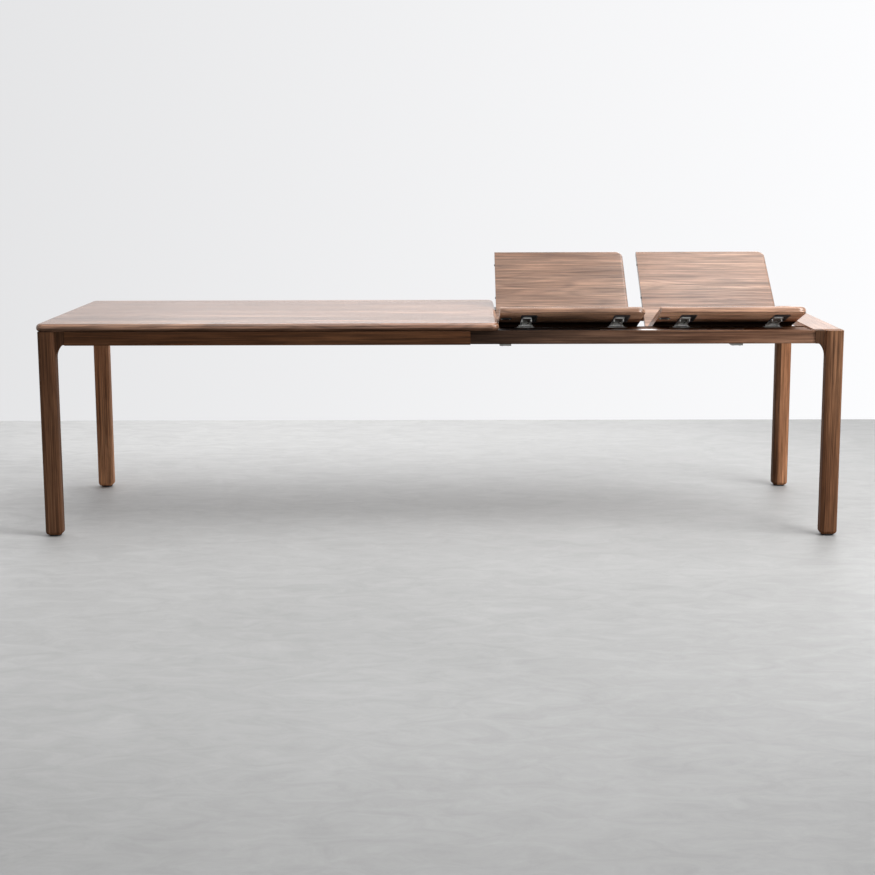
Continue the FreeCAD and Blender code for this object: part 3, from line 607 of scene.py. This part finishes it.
class TABLE_OT_walnut(bpy.types.Operator):
    """Dress the tops, aprons, rails, runners and legs in oiled walnut"""
    bl_idname = "table.walnut"
    bl_label = "Walnut"

    def execute(self, context):
        settings = context.scene.table_walnut
        self.dress_top(settings)
        self.dress_leaves(settings)
        self.dress_boards(settings)
        self.dress_legs(settings)
        return {"FINISHED"}

    def dress_top(self, settings):
        low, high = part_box("main_top")
        edge = Vector((0.0, low.y, high.z - TOP_FIGURE_DEPTH))
        # The lip and the underside of the main top are painted darker, as painted shade beneath its nose
        clothe(walnut("walnut_main_top", settings, ALONG_TABLE, edge, stave=settings.stave, shade=1.2,
                      seed=3.0, lip=0.36, under=0.45), "main_top")

    def dress_leaves(self, settings):
        for leaf, front, back in zip(LEAVES, FRONT_HALVES, BACK_HALVES):
            shade, seed = front
            # On the leaves the lip is painted darker and the flat underside paler: painted shade beneath the
            # nose, painted light on the underside
            clothe(walnut(f"walnut_{leaf}_front", settings, TILTED, SPINE, stave=settings.stave, shade=shade,
                          seed=seed, tint=settings.leaf_tint, lip=0.5, under=1.8, painted_shadow=PAINTED_SHADOW),
                   leaf + "_front_half")
            shade, seed = back
            clothe(walnut(f"walnut_{leaf}_back", settings, FOLDED, SPINE, stave=settings.stave, shade=shade,
                          seed=seed, contrast=0.2, tint=settings.leaf_tint),
                   leaf + "_back_half")

    def dress_boards(self, settings):
        warm = settings.frame_tint
        red = settings.apron_tint
        # Board, shade, painted light along the table and tint
        long_boards = (
            # The front apron is painted darkest, partly as painted shade on its front face
            ("apron_front", 0.32, None, red), ("apron_back", 0.45, None, red),
            ("rail_front", 1.0, RAIL_PAINTED_LIGHT, PLAIN), ("rail_back", 0.4, None, warm),
            ("runner_front", 0.45, None, warm), ("runner_back", 0.5, None, warm),
        )
        for seed, (board, shade, painted_light_fade, tint) in enumerate(long_boards, start=80):
            clothe(walnut("walnut_" + board, settings, ALONG_TABLE, Vector(), shade=shade, seed=seed,
                          figure=0.35, dull=0.4, tint=tint, painted_light_fade=painted_light_fade), board)
        # The end aprons are painted pale, partly as painted light and sheen from the strong light at the
        # right-hand end
        for seed, board in enumerate(("end_apron_left", "end_apron_right"), start=95):
            clothe(walnut("walnut_" + board, settings, ALONG_DEPTH, Vector(), shade=1.55, seed=seed,
                          figure=0.3, dull=-0.05), board)

    def dress_legs(self, settings):
        left, right = CAD_BOX[0][0], CAD_BOX[1][0]
        # Leg, shade, seed, step in tone from board to board and place of the glue joint. Shades and steps
        # are partly painted light and shade: the back legs are painted paler than the front ones, and the
        # inner boards and ears of the right-hand legs darker
        legs = (
            ("leg_front_left", 0.57, 110.0, 0.0, left + LEG_JOINT),
            ("leg_back_left", 1.45, 117.0, -0.1, left + LEG_JOINT),
            ("leg_front_right", 0.70, 124.0, 0.50, right - FRONT_RIGHT_LEG_JOINT),
            ("leg_back_right", 1.35, 131.0, 0.60, right - LEG_JOINT),
        )
        for leg, shade, seed, step, joint in legs:
            clothe(walnut("walnut_" + leg, settings, UPRIGHT, Vector((joint, 0.0, 0.0)), stave=LEG_BOARD,
                          shade=shade, seed=seed, figure=0.4, dull=0.38, contrast=0.5,
                          tint=settings.frame_tint, step=step), leg)


class TABLE_OT_metal(bpy.types.Operator):
    """Dress slides, straps, hinges and plates in zinc and black steel"""
    bl_idname = "table.metal"
    bl_label = "Metal"

    def execute(self, context):
        settings = context.scene.table_metal
        zinc = plated("bright_zinc", settings.zinc, roughness=0.34, metallic=1.0, brush=0.04)
        black = plated("black_steel", settings.black, roughness=0.42, metallic=0.0, brush=0.10)
        # The dull zinc is partly painted shade on the straps under the rails
        grey = plated("dull_zinc", settings.strap, roughness=0.5, metallic=0.2, brush=0.05)
        clothe(zinc, "slide_inner_front", "slide_inner_back")
        clothe(grey, "rail_straps")
        clothe(black, "slide_outer_front", "slide_outer_back", "slide_middle_front", "slide_middle_back")
        for leaf in LEAVES:
            clothe(zinc, *(f"{leaf}_{piece}" for piece in (
                "carriage_bar", "hinge_bases", "pivot_pins", "hinge_arms", "spine_plates_front",
                "spine_plates_back", "spine_pins",
            )))
            clothe(black, leaf + "_arm_plates", leaf + "_lock_plate")
        return {"FINISHED"}


class TABLE_OT_nylon(bpy.types.Operator):
    """Dress glides, dowels and rest blocks in black nylon"""
    bl_idname = "table.nylon"
    bl_label = "Nylon"

    def execute(self, context):
        nylon = moulded("black_nylon", context.scene.table_metal.nylon)
        clothe(nylon, "glides_left", "glides_right", "leaf_rests", *(leaf + "_dowels" for leaf in LEAVES))
        return {"FINISHED"}


class TABLE_OT_screws(bpy.types.Operator):
    """Drive the screws of hinge bases, plates, lock plates and straps"""
    bl_idname = "table.screws"
    bl_label = "Screws"

    def execute(self, context):
        settings = context.scene.table_fasteners
        for leaf in LEAVES:
            base_screws(leaf, settings)
            plate_screws(leaf, settings)
            lock_screws(leaf, settings)
        strap_screws(settings)
        return {"FINISHED"}


class TABLE_OT_rivets(bpy.types.Operator):
    """Set the dark rivets of the hinge arms"""
    bl_idname = "table.rivets"
    bl_label = "Rivets"

    def execute(self, context):
        for leaf in LEAVES:
            arm_rivets(leaf, context.scene.table_fasteners)
        return {"FINISHED"}


# Stage

# The floor reaches this far in front and to the sides, and ends behind the table, before the backdrop
FLOOR_REACH = 14.0
FLOOR_BACK = 2.13
FLOOR_CLOUDS = Noise(along=1.3, across=1.3, detail=5.0, roughness=0.6)
FLOOR_MOTTLE = Noise(along=7.0, across=13.0, detail=6.0, roughness=0.72, distortion=0.9)
FLOOR_CLOUD_LEVELS = (0.965, 1.035)
FLOOR_MOTTLE_LEVELS = (0.89, 1.10)
FLOOR_ROUGHNESS = 0.55
# Painted light on the floor, paler far back and on the left and darker near the viewer and on the right,
# along the view and across it: from one place to another, between two levels
FLOOR_PAINTED_LIGHT_IN_DEPTH = ((-3.0, 1.6), (0.71, 1.18))
FLOOR_PAINTED_LIGHT_ACROSS = ((-1.7, 2.0), (1.40, 0.68))

# Directions between which the light of the walls changes, to the sides and towards the viewer
SIDE_WALLS = (-0.26, 0.30)
VIEWER_SIDE = (-0.45, 0.35)


class Lamp(NamedTuple):
    """A rectangular lamp in metres, named for the setting that holds its power."""
    name: str
    wide: float
    high: float
    place: Vector
    aim: Vector


LAMPS = (
    Lamp("overhead", 3.8, 3.4, Vector((0.3, -0.9, 3.6)), Vector((0.2, -0.5, 0.0))),
    Lamp("key", 2.2, 2.2, Vector((3.0, -1.6, 2.4)), Vector((0.9, 0.0, 0.7))),
    Lamp("softbox", 2.0, 2.0, Vector((1.9, 1.6, 3.3)), Vector((0.4, 1.2, 0.0))),
    Lamp("rear", 6.0, 1.6, Vector((0.8, 5.0, 3.3)), Vector((0.2, 0.0, 0.3))),
    Lamp("front", 4.0, 0.8, Vector((0.3, -8.5, 0.5)), Vector((0.0, 0.0, 0.5))),
)

# The camera, fitted to the legs and the corners of the top in the picture
PICTURE_WIDTH_PIXELS = 875.0
FOCAL_LENGTH_PIXELS = 1669.1
SENSOR_MILLIMETRES = 36.0
FARTHEST_SEEN = 200.0
CAMERA_PLACE = (0.0551, -6.1851, 1.3218)
CAMERA_PITCH = 0.1681
CAMERA_YAW = -0.0106
CAMERA_ROLL = -0.0035


class TABLE_OT_stage(bpy.types.Operator):
    """Lay the floor, light the table and set the camera"""
    bl_idname = "table.stage"
    bl_label = "Stage"

    def execute(self, context):
        settings = context.scene.table_stage
        self.lay_floor(context, settings)
        self.light_walls(context, settings)
        self.hang_lamps(context, settings)
        self.aim_camera(context)
        context.scene.view_settings.view_transform = "Standard"
        return {"FINISHED"}

    def lay_floor(self, context, settings):
        mesh = bpy.data.meshes.new("floor")
        mesh.from_pydata([
            (-FLOOR_REACH, -FLOOR_REACH, 0.0), (FLOOR_REACH, -FLOOR_REACH, 0.0),
            (FLOOR_REACH, FLOOR_BACK, 0.0), (-FLOOR_REACH, FLOOR_BACK, 0.0),
        ], [], [(0, 1, 2, 3)])
        floor = bpy.data.objects.new("floor", mesh)
        context.scene.collection.objects.link(floor)
        material, nodes, shader = new_material("plain_floor")
        where = nodes.add("ShaderNodeTexCoord").outputs["Object"]
        x, y, _ = nodes.split(where)
        level = nodes.times(
            nodes.remapped(nodes.clouded(where, FLOOR_CLOUDS), NOISE_SPAN, FLOOR_CLOUD_LEVELS),
            nodes.remapped(nodes.clouded(where, FLOOR_MOTTLE), NOISE_SPAN, FLOOR_MOTTLE_LEVELS),
            # Painted light: the floor grows paler to the back and to the left
            nodes.remapped(y, *FLOOR_PAINTED_LIGHT_IN_DEPTH), nodes.remapped(x, *FLOOR_PAINTED_LIGHT_ACROSS),
        )
        nodes.feed(shader.inputs["Base Color"], nodes.scaled(settings.floor, level))
        nodes.feed(shader.inputs["Roughness"], FLOOR_ROUGHNESS)
        mesh.materials.append(material)

    def light_walls(self, context, settings):
        """Even light from pale walls, dimmer on the left and from the viewer's side."""
        world = bpy.data.worlds.new("studio")
        context.scene.world = world
        world.use_nodes = True
        nodes = Nodes(world.node_tree)
        x, y, _ = nodes.split(nodes.add("ShaderNodeNewGeometry").outputs["Incoming"])
        across = nodes.remapped(x, SIDE_WALLS, (1.0, settings.left))
        ahead = nodes.remapped(y, VIEWER_SIDE, WHOLE)
        path = nodes.add("ShaderNodeLightPath")
        seen = nodes.maths("MAXIMUM", path.outputs["Is Camera Ray"], path.outputs["Is Glossy Ray"])
        seen = nodes.maths("MAXIMUM", seen, path.outputs["Is Transmission Ray"])
        lit = nodes.remapped(ahead, WHOLE, (settings.fill, settings.fill * settings.dim))
        shown = nodes.remapped(ahead, WHOLE, (1.0, settings.mirror))
        level = nodes.maths("MULTIPLY_ADD", seen, nodes.maths("SUBTRACT", shown, lit), lit)
        background = world.node_tree.nodes["Background"]
        nodes.feed(background.inputs["Strength"], nodes.times(level, across))
        nodes.feed(background.inputs["Color"], rgba(settings.wall))

    def hang_lamps(self, context, settings):
        for lamp in LAMPS:
            data = bpy.data.lights.new(lamp.name, "AREA")
            data.shape = "RECTANGLE"
            data.energy = getattr(settings, lamp.name)
            data.size = lamp.wide
            data.size_y = lamp.high
            piece = bpy.data.objects.new(lamp.name, data)
            piece.location = lamp.place
            piece.rotation_euler = (lamp.aim - lamp.place).to_track_quat("-Z", "Y").to_euler()
            context.scene.collection.objects.link(piece)

    def aim_camera(self, context):
        data = bpy.data.cameras.new("camera")
        data.sensor_width = SENSOR_MILLIMETRES
        data.lens = FOCAL_LENGTH_PIXELS / PICTURE_WIDTH_PIXELS * SENSOR_MILLIMETRES
        data.clip_end = FARTHEST_SEEN
        camera = bpy.data.objects.new("camera", data)
        level = Vector((math.cos(CAMERA_YAW), -math.sin(CAMERA_YAW), 0.0))
        forward = Vector((math.sin(CAMERA_YAW), math.cos(CAMERA_YAW), 0.0))
        ahead = math.cos(CAMERA_PITCH) * forward - math.sin(CAMERA_PITCH) * Vector((0.0, 0.0, 1.0))
        right = math.cos(CAMERA_ROLL) * level + math.sin(CAMERA_ROLL) * level.cross(ahead)
        turn = Matrix((right, right.cross(ahead), -ahead)).transposed()
        camera.matrix_world = Matrix.Translation(CAMERA_PLACE) @ turn.to_4x4()
        context.scene.collection.objects.link(camera)
        context.scene.camera = camera


class TABLE_PT_sidebar(bpy.types.Panel):
    bl_idname = "TABLE_PT_sidebar"
    bl_label = "Extending table"
    bl_space_type = "VIEW_3D"
    bl_region_type = "UI"
    bl_category = "Table"

    def draw(self, context):
        for operator in OPERATORS:
            self.layout.operator(operator.bl_idname)


SETTINGS = (
    ("table_walnut", WalnutSettings),
    ("table_metal", MetalSettings),
    ("table_fasteners", FastenerSettings),
    ("table_stage", StageSettings),
)
OPERATORS = (
    TABLE_OT_walnut, TABLE_OT_metal, TABLE_OT_nylon, TABLE_OT_screws, TABLE_OT_rivets, TABLE_OT_stage,
)


def register():
    for name, group in SETTINGS:
        bpy.utils.register_class(group)
        setattr(bpy.types.Scene, name, PointerProperty(type=group))
    for operator in OPERATORS:
        bpy.utils.register_class(operator)
    bpy.utils.register_class(TABLE_PT_sidebar)


def unregister():
    bpy.utils.unregister_class(TABLE_PT_sidebar)
    for operator in reversed(OPERATORS):
        bpy.utils.unregister_class(operator)
    for name, group in reversed(SETTINGS):
        delattr(bpy.types.Scene, name)
        bpy.utils.unregister_class(group)


def main():
    register()
    bpy.ops.table.walnut()
    bpy.ops.table.metal()
    bpy.ops.table.nylon()
    bpy.ops.table.screws()
    bpy.ops.table.rivets()
    bpy.ops.table.stage()


if __name__ == "__main__":
    main()
